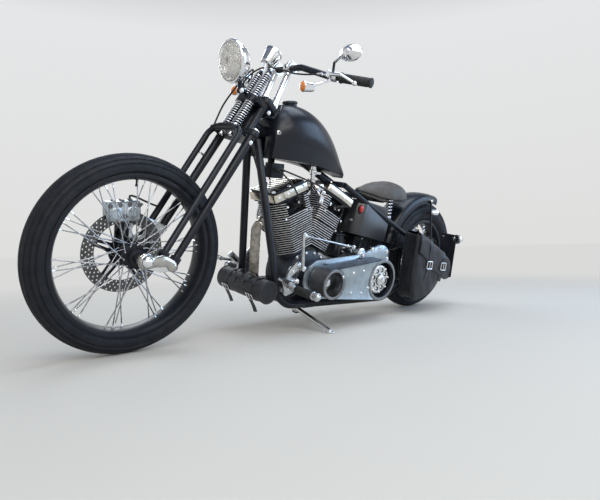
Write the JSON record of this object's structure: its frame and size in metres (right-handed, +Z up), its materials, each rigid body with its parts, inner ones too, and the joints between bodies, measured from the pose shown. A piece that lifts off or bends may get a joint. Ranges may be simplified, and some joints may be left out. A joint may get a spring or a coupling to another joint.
{
  "type": "chopper motorcycle",
  "caption": "Rigid-frame chopper with raked springer fork, wire wheels, V-twin engine, open belt primary, teardrop tank and solo seat, leaning on its side stand.",
  "frame": {"origin": "middle of the whole machine's box, on the ground", "axes": "+X forwards, +Y to the rider's left, +Z up; the machine leans to its left on its side stand"},
  "size_m": [2.3557, 0.89, 1.2157],
  "materials": {
    "satin_black_paint": "satin black paint",
    "black_engine_enamel": "black wrinkle enamel with bright fin edges",
    "chrome": "polished chrome",
    "polished_aluminium": "polished aluminium",
    "steel": "ground steel",
    "black_rubber": "matt black rubber",
    "tyre_rubber": "black tyre rubber",
    "brown_leather": "dark brown leather",
    "black_leather": "black leather",
    "spring_steel": "plated spring steel",
    "black_anodised": "black anodised",
    "exhaust_wrap": "grey brown woven heat wrap"
  },
  "bodies": {
    "frame": {"backbone": "satin_black_paint", "down_tubes": "satin_black_paint", "lower_rails": "satin_black_paint", "upper_stays": "satin_black_paint", "seat_post": "satin_black_paint", "crankcase": "black_engine_enamel", "front_cylinder": "black_engine_enamel", "front_head": "black_engine_enamel", "front_rocker_box": "polished_aluminium", "rear_cylinder": "black_engine_enamel", "rear_head": "black_engine_enamel", "rear_rocker_box": "polished_aluminium", "pushrod_tubes": "chrome", "air_cleaner": "polished_aluminium", "exhaust_pipes": "exhaust_wrap", "gearbox": "polished_aluminium", "motor_plate": "polished_aluminium", "primary_pulleys": "polished_aluminium", "primary_belt": "black_rubber", "final_chain": "steel", "starter": "chrome", "fuel_tank": "satin_black_paint", "coil_box": "satin_black_paint", "oil_tank": "satin_black_paint", "seat": "brown_leather", "seat_springs": "spring_steel", "rear_fender": "satin_black_paint", "plate_bracket": "satin_black_paint", "saddle_bag": "black_leather", "foot_controls": "polished_aluminium", "brake_controls": "polished_aluminium", "tool_roll": "black_leather", "rear_caliper": "polished_aluminium", "rear_axle": "chrome"},
    "fork": {"fork_rigid_legs": "satin_black_paint", "fork_spring_legs": "satin_black_paint", "fork_springs": "chrome", "rockers": "chrome", "headlight": "chrome", "handlebar": "satin_black_paint", "risers": "chrome", "gauge": "chrome", "grips": "black_rubber", "hand_levers": "chrome", "mirrors": "chrome", "front_caliper": "polished_aluminium"},
    "front_wheel": {"front_tyre": "tyre_rubber", "front_rim": "satin_black_paint", "front_hub": "satin_black_paint", "front_spokes": "chrome", "front_rotor": "steel"},
    "rear_wheel": {"rear_tyre": "tyre_rubber", "rear_rim": "satin_black_paint", "rear_hub": "satin_black_paint", "rear_spokes": "chrome", "rear_rotor": "steel", "rear_sprocket": "black_anodised"},
    "stand": {"side_stand": "chrome"}
  },
  "joints": [
    {"name": "steering", "type": "hinge", "parent": "frame", "child": "fork", "pos_m": [0.41959, -0.01161, 0.79661], "axis": [-0.5128, 0.1756, 0.8404], "range_deg": [-30, 30]},
    {"name": "front_wheel_spin", "type": "hinge", "parent": "fork", "child": "front_wheel", "pos_m": [0.83215, -0.10699, 0.34003], "axis": [0, 0.9789, -0.2045], "continuous": true},
    {"name": "rear_wheel_spin", "type": "hinge", "parent": "frame", "child": "rear_wheel", "pos_m": [-0.87285, -0.11525, 0.30049], "axis": [0, 0.9789, -0.2045], "continuous": true},
    {"name": "side_stand_fold", "type": "hinge", "parent": "frame", "child": "stand", "pos_m": [0.07215, -0.09914, 0.0842], "axis": [-0.0465, 0.3521, 0.9348], "range_deg": [0, 77.1]}
  ]
}
